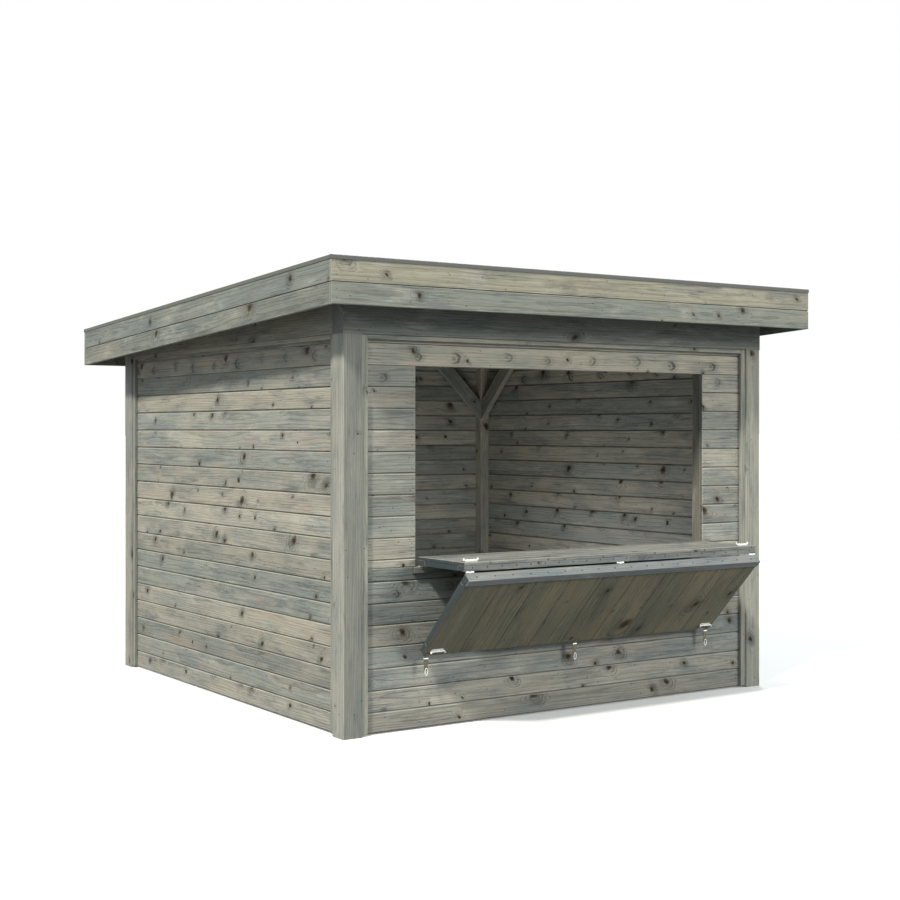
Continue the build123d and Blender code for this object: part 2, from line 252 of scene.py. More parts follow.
    # Eased edges facing up are paler, partly wear and partly a painted highlight; eased edges facing down get
    # painted shade.
    colour = (edge_wear_and_light * (0.15 + 0.4 * patch)).mix(colour, linear(200, 197, 184))
    colour = (edge_wear_and_light * -0.6).mix(colour, linear(52, 52, 48))
    if ends:
        colour = (end * ends).mix(colour, (0.8 + 0.4 * streak).shade(linear(62, 71, 75)))
    rough = 0.70 + 0.2 * fibre
    height = fibre * 0.5 + streak * 0.4 - ring * 0.5 - thin * 0.2 - core * 0.5 - crack
    finish(surface, colour, rough, height, 0.6, 0.002)
    surface.inputs["Specular IOR Level"].default_value = 0.12
    return made


def inset(outline, by):
    """The outline moved inwards by a distance along each edge."""
    area = sum(p[0] * q[1] - q[0] * p[1] for p, q in zip(outline, outline[1:] + outline[:1]))
    turn = 1.0 if area > 0 else -1.0
    lines = []
    for p, q in zip(outline, outline[1:] + outline[:1]):
        run, rise = q[0] - p[0], q[1] - p[1]
        size = math.hypot(run, rise)
        nx, ny = -rise / size * turn, run / size * turn
        lines.append((nx, ny, nx * p[0] + ny * p[1] + by))
    moved = []
    for (a, b, c), (d, e, f) in zip(lines[-1:] + lines[:-1], lines):
        det = a * e - b * d
        moved.append(((c * e - b * f) / det, (a * f - c * d) / det))
    return moved


def rectangle(wide, high):
    return [(0.0, 0.0), (wide, 0.0), (wide, high), (0.0, high)]


def rounded(wide, high, edge, steps=3):
    """A rectangle with rounded corners."""
    points = []
    centres = ((wide - edge, high - edge, 0), (edge, high - edge, 90),
               (edge, edge, 180), (wide - edge, edge, 270))
    for x, y, start in centres:
        for i in range(steps + 1):
            angle = math.radians(start + 90 * i / steps)
            points.append((x + edge * math.cos(angle), y + edge * math.sin(angle)))
    return points


def circle(radius, sides):
    return [(radius * math.cos(2 * math.pi * i / sides), radius * math.sin(2 * math.pi * i / sides))
            for i in range(sides)]


ARRIS = 0.005
EASE = 0.0015


class Stock:
    """The solids of one piece, each point with its place in the grain of its own stick."""

    def __init__(self, seed, dull=None):
        self.dice = random.Random(seed)
        self.dull = dull
        self.points = []
        self.faces = []
        self.grain = []
        self.tone = []
        self.edge_wear_and_light = []
        self.end = []
        self.across = []
        self.eyed = False

    def lay(self, points, faces, axes, edge_wear_and_light=()):
        """Adds one solid with a fresh piece of grain along the given axes. The listed eased faces are paler,
        partly wear and partly a painted highlight, where they face up, and carry painted shade where they face
        down.
        """
        first = len(self.points)
        dice = self.dice
        shift = Vector((dice.uniform(0, 60), dice.uniform(-0.05, 0.05), dice.uniform(0.03, 0.09)))
        middle = sum(points, Vector()) / len(points)
        tone = dice.random()
        for point in points:
            near = point - middle
            self.grain.append(Vector([near.dot(axis) for axis in axes]) + shift)
            self.tone.append(tone)
            self.across.append(near.dot(axes[1]) if self.eyed else EYE_OFF)
        for number, face in enumerate(faces):
            pairs = zip(face, face[1:] + face[:1])
            normal = sum(((points[p] - middle).cross(points[q] - middle) for p, q in pairs), Vector())
            if normal.dot(points[face[0]] - middle) < 0:
                normal.negate()
            self.end.append(1.0 if abs(normal.normalized().dot(self.dull or axes[0])) > 0.8 else 0.0)
            # Eased faces facing up are marked 1 (pale wear and a painted highlight), those facing down -1
            # (painted shade).
            self.edge_wear_and_light.append((1.0 if normal.z > -0.3 * normal.length else -1.0) if number in edge_wear_and_light else 0.0)
        self.points += points
        self.faces += [[first + i for i in face] for face in faces]

    def solid(self, base, a, b, c, outline, deep, axes, ease, edge_wear_and_light=True):
        """An outline in the plane a, b, carried along c, with eased edges at both ends, with or without pale
        wear, painted highlight and painted shade on them.
        """
        small = inset(outline, ease)
        rings = [(small, 0.0), (outline, ease), (outline, deep - ease), (small, deep)]
        points = [base + a * u + b * v + c * far for ring, far in rings for u, v in ring]
        count = len(outline)
        faces = [list(range(count)), list(range(3 * count, 4 * count))]
        for ring in range(3):
            for i in range(count):
                j = (i + 1) % count
                low = ring * count
                faces.append([low + i, low + j, low + count + j, low + count + i])
        edges = {*range(2, 2 + count), *range(2 + 2 * count, 2 + 3 * count)} if edge_wear_and_light else set()
        if count > 6:
            edges |= {2 + count + i for i in range(count)
                      if math.dist(outline[i], outline[(i + 1) % count]) < ARRIS}
        self.lay(points, faces, axes, edges)

    def bar(self, base, along, across, out, outline, length, ease=EASE):
        """A stick with its grain along its length, the outline being its cross-section."""
        self.solid(base, across, out, along, outline, length, (along, across, out), ease, False)

    def board(self, base, along, across, out, outline, thick, ease=EASE):
        """A board with its grain along, the outline being its face."""
        self.solid(base, along, across, out, outline, thick, (along, across, out), ease)

    def tongue(self, base, along, across, out, length):
        """The tongue that shows in the joint between two boards."""
        self.solid(base, across, out, along, rectangle(TONGUE_HIGH, TONGUE_THICK), length,
                   (along, across, out), TONGUE_EASE)

    def mesh(self, name, look):
        data = bpy.data.meshes.new(name)
        data.from_pydata([tuple(p) for p in self.points], [], self.faces)
        grain = data.attributes.new("grain", "FLOAT_VECTOR", "POINT")
        grain.data.foreach_set("vector", [value for place in self.grain for value in place])
        for label, values, kind in (("tone", self.tone, "POINT"), ("across", self.across, "POINT"),
                                    ("edge_wear_and_light", self.edge_wear_and_light, "FACE"), ("end", self.end, "FACE")):
            data.attributes.new(label, "FLOAT", kind).data.foreach_set("value", values)
        shape = bmesh.new()
        shape.from_mesh(data)
        bmesh.ops.recalc_face_normals(shape, faces=shape.faces)
        shape.to_mesh(data)
        shape.free()
        data.materials.append(look)
        made = bpy.data.objects.new(name, data)
        bpy.context.scene.collection.objects.link(made)
        return made

    def place(self, name, look, body, slot, *nodes):
        """Makes the piece, on its body, for the CAD nodes it shows."""
        made = self.mesh(name, look)
        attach(made, body)
        if nodes:
            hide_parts(*nodes)
        return made


def extent(node):
    """The low and high corners of a CAD node, and its size."""
    low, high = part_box(node)
    return low, high, high - low


POST_WOOD = wood("weathered_posts", (172, 168, 155), (145, 149, 145), (124, 133, 136),
                 (174, 160, 146), 0.22, 0.4)
# The two right posts use a paler copy of the post wood: partly their own tone, partly painted light that lifts
# the counter's shadow on the front right post.
PALE_WOOD = wood("pale_posts", (194, 189, 170), (168, 169, 158), (146, 152, 150),
                 (190, 173, 154), 0.3, 0.1)
# The front left post's front and back faces are mixed to a dark blue-grey.
NEAR_WOOD = wood("near_post", (192, 187, 170), (170, 171, 161), (150, 156, 154),
                 (186, 172, 156), 0.22, 0.3, 1.0, 0.40)
POST_EDGE = 0.010
POST_END = 0.002
for number, corner in enumerate(("front_left", "front_right", "rear_left", "rear_right")):
    low, high, size = extent("post_" + corner)
    near = corner == "front_left"
    sticks = Stock(10 + number, BACK if near else None)
    sticks.bar(low, UP, RIGHT, BACK, rounded(size.x, size.y, POST_EDGE), size.z, POST_END)
    look = NEAR_WOOD if near else PALE_WOOD if "right" in corner else POST_WOOD
    sticks.place("post." + corner, look, "stall", "timber", "post_" + corner)

# RING BEAM
# Deep planed beams on the post heads, flush with the post faces, their tops cut to the roof fall.
# The front and rear beams run through over the corners.
BEAM_WOOD = wood("weathered_timber", (158, 155, 140), (130, 135, 130), (108, 118, 120),
                 (154, 142, 130), 0.4, 0.45)
FALL = 0.052
for side, seed in (("front", 20), ("rear", 21), ("left", 24), ("right", 25)):
    low, high, size = extent("beam_" + side)
    sticks = Stock(seed)
    outline = [(0, 0), (size.y, 0), (size.y, size.z - size.y * FALL), (0, size.z)]
    if side in ("front", "rear"):
        sticks.bar(low, RIGHT, BACK, UP, outline, size.x)
    else:
        sticks.board(low, BACK, UP, RIGHT, outline, size.x)
    sticks.place("beam." + side, BEAM_WOOD, "stall", "timber", "beam_" + side)

# KNEE BRACES
# Short planks at 45 degrees between post and beam, flush with the inner faces.
# Each is cut plumb on the post and level under the beam.
BRACE_DEEP = 0.095 * math.sqrt(2)


def brace(sticks, corner, run, out, span, thick):
    """One brace from the post corner, running out under the beam."""
    outline = [(0, 0), (span, span), (span - BRACE_DEEP, span), (0, BRACE_DEEP)]
    slope = (run + UP).normalized()
    sticks.solid(corner, run, UP, out, outline, thick, (slope, (UP - run).normalized(), out), EASE)


for side, seed, run, out in (("left", 30, BACK, RIGHT), ("right", 31, BACK, RIGHT), ("back", 34, RIGHT, BACK)):
    low, high, size = extent("braces_" + side)
    sticks = Stock(seed)
    brace(sticks, low, run, out, size.z, size.dot(out))
    brace(sticks, low + run * size.dot(run), -run, out, size.z, size.dot(out))
    sticks.place("braces." + side, BEAM_WOOD, "stall", "timber", "braces_" + side)

# WALLS
# Horizontal tongued spruce boards of 115 mm, nailed between the posts with thin dark joints.
# They have weathered unevenly: beige, grey and blue-grey from board to board, with many knots.
PITCH = 0.115
JOINT = 0.0045
TONGUE_HIGH = 0.012
TONGUE_THICK = 0.006
TONGUE_EASE = 0.0008
BOARD_EASE = 0.0038
BOARD_WAVE = 0.0006
BOARD_LIFT = 0.0008
FULL_BOARD = 0.09
NAILED_BOARD = 0.05
SLIVER = 0.004
SLACK = 0.001
BOARD_WOOD = wood("weathered_boards", (177, 172, 157), (146, 150, 143), (122, 131, 132),
                  (174, 153, 139), 0.7, 0.36, 1.0, 0.7)
# The boards below the opening use a greyer, darker copy of the wall boards: painted shade for the counter's
# shadow on them.
LOW_WOOD = wood("low_boards_painted_shade", (168, 165, 153), (138, 144, 140), (116, 126, 130),
                (156, 141, 130), 0.65, 0.5, 1.0, 0.7)
NAIL_STEEL, nail_surface, nail_place, nail_tone = material("nail_steel", 0.7)
nail_spot = nail_place.vector(nail_place.part(0) * 600.0, nail_place.part(1) * 600.0, nail_tone * 40.0)
rust = nail_place.noise(nail_spot)
finish(nail_surface, rust.step(0.35, 0.7).mix(linear(84, 81, 74), linear(80, 66, 52)), 0.45 + 0.3 * rust,
       rust, 0.3, 0.0004)
NAIL_HEAD = 0.0026
NAIL_PROUD = 0.0006
NAIL_EASE = 0.0005
NAIL_SIDES = 10
NAIL_JOLT = 0.004
NAIL_BACK = 0.058
STUD_NAIL = 0.022
BOARD_NAILS = (0.28, 0.72)


def nail(sticks, place, out, head=NAIL_HEAD):
    """A flat round nail head on a face that looks along out."""
    side = UP if abs(out.z) < 0.7 else BACK
    a = out.cross(side).normalized()
    sticks.solid(place - out * NAIL_PROUD, a, out.cross(a), out, circle(head, NAIL_SIDES), 2 * NAIL_PROUD,
                 (a, out.cross(a), out), NAIL_EASE)


def wall(sticks, nails, places, base, run, out, length, thick, foot, head):
    """Rows of boards from foot to head, nailed at places. Out looks from the outer to the inner face."""
    level = foot
    while level < head - SLIVER:
        above = min(head, (math.floor(level / PITCH + 1e-6) + 1) * PITCH)
        bottom = level + (JOINT / 2 if level > foot + SLACK else 0)
        top = above - (JOINT / 2 if above < head - SLACK else 0)
        wave = [sticks.dice.uniform(-BOARD_WAVE, BOARD_WAVE) for i in range(4)]
        outline = [(0, bottom + wave[0]), (length, bottom + wave[1]),
                   (length, top + wave[2]), (0, top + wave[3])]
        lift = sticks.dice.uniform(0, BOARD_LIFT)
        sticks.eyed = above - level > FULL_BOARD and above + PITCH > head + SLACK
        sticks.board(base + out * lift, run, UP, out, outline, thick - lift, BOARD_EASE)
        sticks.eyed = False
        if above < head - SLACK:
            joint = base + out * (thick - TONGUE_THICK) / 2 + UP * (above - TONGUE_HIGH / 2)
            sticks.tongue(joint, run, UP, out, length)
        if above - level > NAILED_BOARD:
            for far in places:
                for share in BOARD_NAILS:
                    jolt = nails.dice.uniform(-NAIL_JOLT, NAIL_JOLT)
                    spot = base + run * (far + jolt) + UP * (level + share * (above - level) + jolt)
                    nail(nails, spot, -out)
        level = above


SIDES = (("left", 40, BACK, RIGHT), ("right", 41, BACK, -RIGHT), ("back", 44, RIGHT, -BACK))
for side, seed, run, inward in SIDES:
    low, high, size = extent("wall_" + side)
    sticks, nails = Stock(seed), Stock(seed + 10)
    length, thick = size.dot(run), abs(size.dot(inward))
    corner = Vector((high.x if side == "right" else low.x, high.y if side == "back" else low.y, 0))
    wall(sticks, nails, (NAIL_BACK, length - NAIL_BACK), corner, run, inward, length, thick, low.z, high.z)
    sticks.place("wall." + side, BOARD_WOOD, "stall", "boards", "wall_" + side)
    nails.place("wall_nails." + side, NAIL_STEEL, "stall", "zinc")
nails = Stock(55)
low, high, size = extent("wall_front_below")
JAMB = 0.345
sticks = Stock(45)
wall(sticks, nails, (NAIL_BACK, JAMB + STUD_NAIL, size.x - JAMB - STUD_NAIL, size.x - NAIL_BACK),
     Vector((low.x, low.y, 0)), RIGHT, BACK, size.x, size.y, low.z, high.z)
sticks.place("wall.front_below", LOW_WOOD, "stall", "boards", "wall_front_below")
low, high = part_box("wall_front_sides")
sticks = Stock(46)
for start, places in ((low.x, (NAIL_BACK, JAMB - STUD_NAIL)), (high.x - JAMB, (STUD_NAIL, JAMB - NAIL_BACK))):
    wall(sticks, nails, places, Vector((start, low.y, 0)), RIGHT, BACK, JAMB, high.y - low.y, low.z, high.z)
sticks.place("wall.front_sides", BOARD_WOOD, "stall", "boards", "wall_front_sides")
low, high, size = extent("wall_front_header")
sticks = Stock(47)
HEADER_WOOD = wood("header_boards", (192, 186, 168), (164, 167, 157), (140, 148, 147),
                   (190, 166, 148), 0.45, 0.2, 0.6, 0.7)
wall(sticks, nails, (NAIL_BACK, JAMB, size.x - JAMB, size.x - NAIL_BACK), Vector((low.x, low.y, 0)),
     RIGHT, BACK, size.x, size.y, low.z, high.z)
sticks.place("wall.front_header", HEADER_WOOD, "stall", "boards", "wall_front_header")
nails.place("wall_nails.front", NAIL_STEEL, "stall", "zinc")

# COVER STRIPS
# Planed softwood strips with eased edges, weathered like the boards.
# They are nailed on the boards round each bay, along both posts and under the beam.
STRIP_WOOD = wood("weathered_strips", (172, 168, 151), (148, 151, 142), (126, 134, 134),
                  (170, 154, 139), 0.15, 0.3)
STRIP_WIDE = 0.035
STRIP_HEAD = 0.028
STRIP_GAP = 0.001
STRIP_EDGE = 0.003
for number, side in enumerate(("left", "right", "back", "front")):
    low, high, size = extent("strips_" + side)
    along, out = (BACK, RIGHT) if side in ("left", "right") else (RIGHT, BACK)
    length, thick = size.dot(along), size.dot(out)
    sticks = Stock(60 + number)
    upright = rounded(STRIP_WIDE, thick, STRIP_EDGE, 2)
    sticks.bar(low, UP, along, out, upright, size.z)
    sticks.bar(low + along * (length - STRIP_WIDE), UP, along, out, upright, size.z)
    start = STRIP_WIDE + STRIP_GAP
    sticks.bar(low + along * start + UP * (size.z - STRIP_HEAD), along, UP, out,
               rounded(STRIP_HEAD, thick, STRIP_EDGE, 2), length - 2 * start)
    sticks.place("strips." + side, STRIP_WOOD, "stall", "boards", "strips_" + side)

# STUDS AND LEDGER
# Planed upright studs behind the boards frame the opening; they are sheltered and stay brownish grey.
# A weathered ledger screwed to the wall below the opening carries the counter.
low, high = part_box("studs")
STUD_WOOD = wood("inside_studs", (126, 122, 108), (108, 111, 104), (93, 99, 99),
                 (124, 113, 102), 0.3, 0.35)
STUD = 0.045
STUD_EDGE = 0.003
sticks = Stock(70)
for start in (low.x, high.x - STUD):
    sticks.bar(Vector((start, low.y, low.z)), UP, RIGHT, BACK, rounded(STUD, high.y - low.y, STUD_EDGE, 2),
               high.z - low.z)
sticks.place("studs", STUD_WOOD, "stall", "timber", "studs")
# The ledger is coloured darker than the boards: painted shade under the counter.
LEDGER_WOOD = wood("weathered_ledger_painted_shade", (150, 148, 136), (124, 128, 124), (104, 112, 114),
                   (146, 134, 120), 0.3, 0.5, 1.0, 0.7)
low, high, size = extent("counter_ledger")
sticks = Stock(71)
sticks.bar(low, RIGHT, BACK, UP, rounded(size.y, size.z, STUD_EDGE, 2), size.x)
sticks.place("counter_ledger", LEDGER_WOOD, "stall", "boards", "counter_ledger")

# ROOF FRAME AND DECK
# Sawn rafters run to the back with the fall, and rim boards are nailed across their ends.
# Deck boards are nailed on top. The wood is dark brown: unweathered, and darker still as painted shade under
# the roof.
ROOF_WOOD = wood("roof_timber", (112, 104, 86), (96, 93, 82), (84, 85, 80),
                 (112, 95, 77), 0.45, 0.3)
SLOPE = Vector((0, 1, -FALL)).normalized()
OVER = SLOPE.cross(-RIGHT)


def leaning(low_x, high_x, near, far, top_at_near, deep):
    """A stick with the roof fall and plumb ends, between two places along the depth."""
    run = far - near
    outline = [(0, -deep), (run, -deep - run * FALL), (run, -run * FALL), (0, 0)]
    return Vector((low_x, near, top_at_near)), outline, high_x - low_x


RAFTER_WIDE = 0.045
for number, (name, middles) in enumerate((("rafters", (-1, -1 / 3, 1 / 3, 1)), ("verge_rafters", (-1, 1)))):
    low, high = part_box(name)
    reach = (high.x - low.x - RAFTER_WIDE) / 2
    deep = high.z - low.z - (high.y - low.y) * FALL
    sticks = Stock(80 + number)
    for share in middles:
        base, outline, wide = leaning(share * reach - RAFTER_WIDE / 2, share * reach + RAFTER_WIDE / 2,
                                      low.y, high.y, high.z, deep)
        sticks.solid(base, BACK, UP, RIGHT, outline, wide, (SLOPE, OVER, RIGHT), EASE)
    sticks.place(name + ".sawn", ROOF_WOOD, "stall", "roof_timber", name)
low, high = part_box("roof_rims")
RIM = 0.045
RIM_DEEP = 0.095
sticks = Stock(84)
for near, top in ((low.y, high.z), (high.y - RIM, high.z - (high.y - RIM - low.y) * FALL)):
    base, outline, wide = leaning(low.x, high.x, near, near + RIM, top, RIM_DEEP)
    sticks.solid(base, BACK, UP, RIGHT, outline, wide, (RIGHT, UP, BACK), EASE)
sticks.place("roof_rims.sawn", ROOF_WOOD, "stall", "roof_timber", "roof_rims")
low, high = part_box("roof_deck")
DECK = 0.020
DECK_BOARD = 0.118
DECK_GAP = 0.0012
sticks = Stock(85)
rows = round((high.y - low.y) / DECK_BOARD)
step = (high.y - low.y) / rows
for row in range(rows):
    near = low.y + row * step
    base, outline, wide = leaning(low.x, high.x, near + DECK_GAP / 2, near + step - DECK_GAP / 2,
                                  high.z - (near - low.y) * FALL, DECK)
    sticks.solid(base, BACK, UP, RIGHT, outline, wide, AXES, EASE)
sticks.place("roof_deck.boards", ROOF_WOOD, "stall", "roof_timber", "roof_deck")

# ROOF COVER
# Dark mineral felt in four sheets, laid from the low rear edge up.
# Each sheet laps over the one behind it, and the trim along the roof edge holds the outer ends.
FELT, felt_surface, felt_place, felt_tone = material("mineral_felt", 0.0)
grit = felt_place.speckle(900.0, 900.0, 900.0, 2.0, 0.7)
wash_spot = felt_place.vector(felt_place.part(0) * 2.0, felt_place.part(1) * 3.0, felt_tone * 9.0)
wash = felt_place.noise(wash_spot, 4.0, 0.6)
felt_level = (0.65 + 0.5 * grit) * (0.75 + 0.5 * wash)
finish(felt_surface, felt_level.shade(linear(78, 80, 78)), 0.85 + 0.1 * grit, grit, 0.5, 0.0015)
low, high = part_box("roof_cover")
COVER = 0.004
SHEETS = 4
LAP = 0.08
LAP_RISE = 0.0012
FELT_EASE = 0.0004
sticks = Stock(90)
step = (high.y - low.y) / SHEETS
for row in range(SHEETS):
    near = low.y + row * step
    far = min(high.y, near + step + LAP)
    last = row == SHEETS - 1
    rise = 0.0 if last else LAP_RISE
    top = high.z - (near - low.y) * FALL
    run = far - near
    notch = [] if last else [(step, -COVER - step * FALL), (step, rise - COVER - step * FALL)]
    outline = [(0, -COVER), *notch, (run, rise - COVER - run * FALL), (run, rise - run * FALL), (0, 0)]
    sticks.solid(Vector((low.x, near, top)), BACK, UP, RIGHT, outline, high.x - low.x, (BACK, RIGHT, UP),
                 FELT_EASE)
sticks.place("roof_cover.felt", FELT, "stall", "roof_felt", "roof_cover")

# FASCIA
# Two weathered boards above each other round the roof, with a dark joint between them.
# They are nailed to the rim boards and the verge rafters.
FASCIA_WOOD = wood("fascia_boards", (164, 160, 142), (136, 140, 132), (116, 124, 124),
                   (162, 146, 130), 0.75, 0.30)
FASCIA = 0.020
FASCIA_EASE = 0.0016
FASCIA_NAILS = 6
FASCIA_NAIL_IN = 0.03
WIDE_NAILS = (0.3, 0.7)
TONGUE_SET = 0.007
fascia_nails = Stock(109)


def fascia(sticks, base, run, inward, length, tall, drop, axes):
    """Two boards above each other, falling by drop over their length, and their nails."""
    for foot, head in ((0, tall / 2 - JOINT / 2), (tall / 2 + JOINT / 2, tall)):
        outline = [(0, foot), (length, foot - drop), (length, head - drop), (0, head)]
        sticks.solid(base, run, UP, inward, outline, FASCIA, axes, FASCIA_EASE)
        for i in range(FASCIA_NAILS):
            far = FASCIA_NAIL_IN + i * (length - 2 * FASCIA_NAIL_IN) / (FASCIA_NAILS - 1)
            for share in WIDE_NAILS:
                spot = base + run * far + UP * (foot + share * (head - foot) - far / length * drop)
                nail(fascia_nails, spot, -inward)


for number, side in enumerate(("front", "rear")):
    low, high, size = extent("fascia_" + side)
    sticks = Stock(100 + number)
    outer, inward = (low.y, BACK) if side == "front" else (high.y, -BACK)
    base = Vector((low.x, outer, low.z))
    fascia(sticks, base, RIGHT, inward, size.x, size.z, 0.0, (RIGHT, UP, inward))
    sticks.tongue(base + inward * TONGUE_SET + UP * (size.z / 2 - TONGUE_HIGH / 2), RIGHT, UP, inward, size.x)
    sticks.place("fascia." + side, FASCIA_WOOD, "stall", "boards", "fascia_" + side)
low, high, size = extent("fascia_sides")
drop = size.y * FALL
tall = size.z - drop
sticks = Stock(104)
for outer, inward in ((low.x, RIGHT), (high.x, -RIGHT)):
    base = Vector((outer, low.y, high.z - tall))
    fascia(sticks, base, BACK, inward, size.y, tall, drop, (SLOPE, OVER, inward))
    foot, head = tall / 2 - TONGUE_HIGH / 2, tall / 2 + TONGUE_HIGH / 2
    outline = [(0, foot), (size.y, foot - drop), (size.y, head - drop), (0, head)]
    sticks.solid(base + inward * TONGUE_SET, BACK, UP, inward, outline, TONGUE_THICK, (SLOPE, OVER, inward),
                 TONGUE_EASE)
FASCIA_SIDE_WOOD = wood("fascia_side_boards", (152, 151, 139), (130, 136, 130),
                        (112, 121, 122), (152, 140, 129), 0.85, 0.6, 0.8)
sticks.place("fascia.sides", FASCIA_SIDE_WOOD, "stall", "boards", "fascia_sides")
fascia_nails.place("fascia_nails", NAIL_STEEL, "stall", "zinc")

# ROOF EDGE
# Strips of dark grey rubber trim, pressed over the top of the fascia all round, grip the felt.
# Those along the sides are coloured a little lighter, as painted light on the sides.
TRIM, trim_surface, trim_place, _ = material("edge_trim", 0.0)
scuff = trim_place.speckle(6.0, 90.0, 90.0, 3.0, 0.6)
finish(trim_surface, (0.7 + 0.6 * scuff).shade(linear(86, 88, 86)), 0.5 + 0.25 * scuff, scuff, 0.2, 0.0006)
low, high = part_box("roof_edge_ends")
EDGE_HIGH = 0.021
EDGE_PROUD = 0.003
EDGE_WIDE = FASCIA + EDGE_PROUD
TRIM_EASE = 0.0006
SIDE_EASE = 0.0012
trim_outline = [(0, 0), (0.004, 0), (0.006, 0.002), (EDGE_WIDE, 0.002), (EDGE_WIDE, EDGE_HIGH - 0.002),
                (EDGE_WIDE - 0.002, EDGE_HIGH), (0.004, EDGE_HIGH), (0.0012, EDGE_HIGH - 0.0015),
                (0, EDGE_HIGH - 0.005)]
sticks = Stock(110)
for outer, inward, foot in ((low.y, BACK, high.z - EDGE_HIGH), (high.y, -BACK, low.z)):
    sticks.bar(Vector((low.x, outer, foot)), RIGHT, inward, UP, trim_outline, high.x - low.x, TRIM_EASE)
sticks.place("roof_edge.ends", TRIM, "stall", "roof_edge", "roof_edge_ends")
# A lighter copy of the trim for the sides: painted light.
SIDE_TRIM, side_surface, side_place, _ = material("edge_trim_sides", 0.0)
bloom = side_place.speckle(5.0, 90.0, 90.0, 3.0, 0.6)
finish(side_surface, (0.7 + 0.6 * bloom).shade(linear(101, 102, 94)), 0.6 + 0.25 * bloom, bloom, 0.2, 0.0006)
low, high, size = extent("roof_edge_sides")
drop = size.y * FALL
sticks = Stock(111)
for outer, inward in ((low.x, RIGHT), (high.x, -RIGHT)):
    base = Vector((outer, low.y, high.z - EDGE_HIGH))
    outline = [(0, 0), (size.y, -drop), (size.y, EDGE_HIGH - drop), (0, EDGE_HIGH)]
    sticks.solid(base, BACK, UP, inward, outline, EDGE_WIDE, (SLOPE, OVER, inward), SIDE_EASE)
sticks.place("roof_edge.sides", SIDE_TRIM, "stall", "roof_edge", "roof_edge_sides")

# COUNTER
# Four boards on a frame of flat rails, hung on the ledger; its front rail shows a row of nails.
# Faces at both ends of the leaves are mixed to a dark blue-grey.
LEAF_WOOD = wood("weathered_leaves", (145, 144, 135), (121, 127, 127), (100, 109, 115),
                 (144, 132, 121), 0.7, 0.5, 0.7, 0.9, 0.12, 0.25)
# The flap boards use a darker brown copy of the leaf wood: partly sheltered wood, partly painted shade.
FLAP_WOOD = wood("sheltered_and_shaded_leaves", (138, 131, 109), (118, 118, 103), (101, 106, 98),
                 (124, 107, 88), 0.6, 0.35, 0.5, 0.85, 0.18, 0.06)
LEAF_RAIL = 0.060
RAIL_GAP = 0.001
LEAF_NAIL = 0.0052
COUNTER_EASE = 0.0018
COUNTER_BOARDS = 4
COUNTER_NAILS = 22
COUNTER_NAIL_IN = 0.05


def rails(sticks, base, along, out, half, start, end, thick):
    """Four flat rails round a leaf: two long ones across and two short ones between."""
    section = rectangle(LEAF_RAIL, thick)
    for far in (start, end - LEAF_RAIL):
        sticks.bar(base - RIGHT * half + along * far, RIGHT, along, out, section, 2 * half)
    inner = start + LEAF_RAIL + RAIL_GAP
    for x in (-half, half - LEAF_RAIL):
        sticks.bar(base + RIGHT * x + along * inner, along, RIGHT, out, section,
                   end - LEAF_RAIL - RAIL_GAP - inner)


def spread(half, count, edge):
    """Even places across a leaf, the outer ones a little in from its ends."""
    return [-half + edge + i * 2 * (half - edge) / (count - 1) for i in range(count)]


counter_joint, flap_joint = frame["joints"]
hinge_line = Vector(counter_joint["pos_m"])
fold_line = Vector(flap_joint["pos_m"])
low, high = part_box("counter_frame")
leaf_half = high.x
frame_thick = high.z - low.z
sticks = Stock(120, RIGHT)
rails(sticks, Vector((0, high.y, low.z)), -BACK, UP, leaf_half, 0.0, high.y - low.y, frame_thick)
sticks.place("counter.frame", LEAF_WOOD, "counter", "leaf_wood", "counter_frame")
low, high, size = extent("counter_boards")
sticks, nails = Stock(121, RIGHT), Stock(122)
wide = size.y / COUNTER_BOARDS
for row in range(COUNTER_BOARDS):
    foot = row * wide + (JOINT / 2 if row else 0)
    head = (row + 1) * wide - (JOINT / 2 if row < COUNTER_BOARDS - 1 else 0)
    sticks.board(low, RIGHT, BACK, UP, [(0, foot), (size.x, foot), (size.x, head), (0, head)], size.z,
                 COUNTER_EASE)
sticks.place("counter.boards", LEAF_WOOD, "counter", "leaf_wood", "counter_boards")
for i, x in enumerate(spread(leaf_half, COUNTER_NAILS, COUNTER_NAIL_IN)):
    nail(nails, Vector((x, low.y, low.z - 0.011 + nails.dice.uniform(-0.002, 0.002))), -BACK, LEAF_NAIL)
    if i % 4 == 1:
        nail(nails, Vector((x + 0.02, low.y, low.z + 0.009)), -BACK, LEAF_NAIL)
    if i % 3 == 0:
        for row in range(COUNTER_BOARDS):
            for share in WIDE_NAILS:
                nail(nails, Vector((x, low.y + (row + share) * wide, high.z)), UP)
nails.place("counter.nails", NAIL_STEEL, "counter", "zinc")

# FLAP
# Boards from the fold to the free edge on the same kind of frame, with a batten nailed along the fold.
# It hangs back under the counter; its inner face is coloured a darker brown, partly as sheltered wood and
# partly as painted shade.
swing = math.radians(180 - flap_joint["range_deg"][1])
ALONG = Vector((0, math.cos(swing), -math.sin(swing)))
INWARD = Vector((0, -math.sin(swing), -math.cos(swing)))
FOLD_GAP = 0.003
FOLD_OUT = 0.005
LEAF_FRAME = 0.028
LEAF_BOARD = 0.018
FLAP_BOARDS = 9
FLAP_JOINT = 0.0016
FLAP_EASE = 0.0008
FLAP_NAIL_HEAD = 0.075
FLAP_NAIL_FOOT = 0.035
BATTEN = 0.008
BATTEN_WIDE = 0.040
BATTEN_NAILS = 18
BATTEN_NAIL_IN = 0.06
LIP = 0.0018
LIP_EASE = 0.0006
low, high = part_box("flap_boards")
flap_face = FOLD_OUT + LEAF_FRAME + LEAF_BOARD
flap_end = (fold_line.z - flap_face * math.cos(swing) - low.z) / math.sin(swing)
sticks = Stock(130, RIGHT)
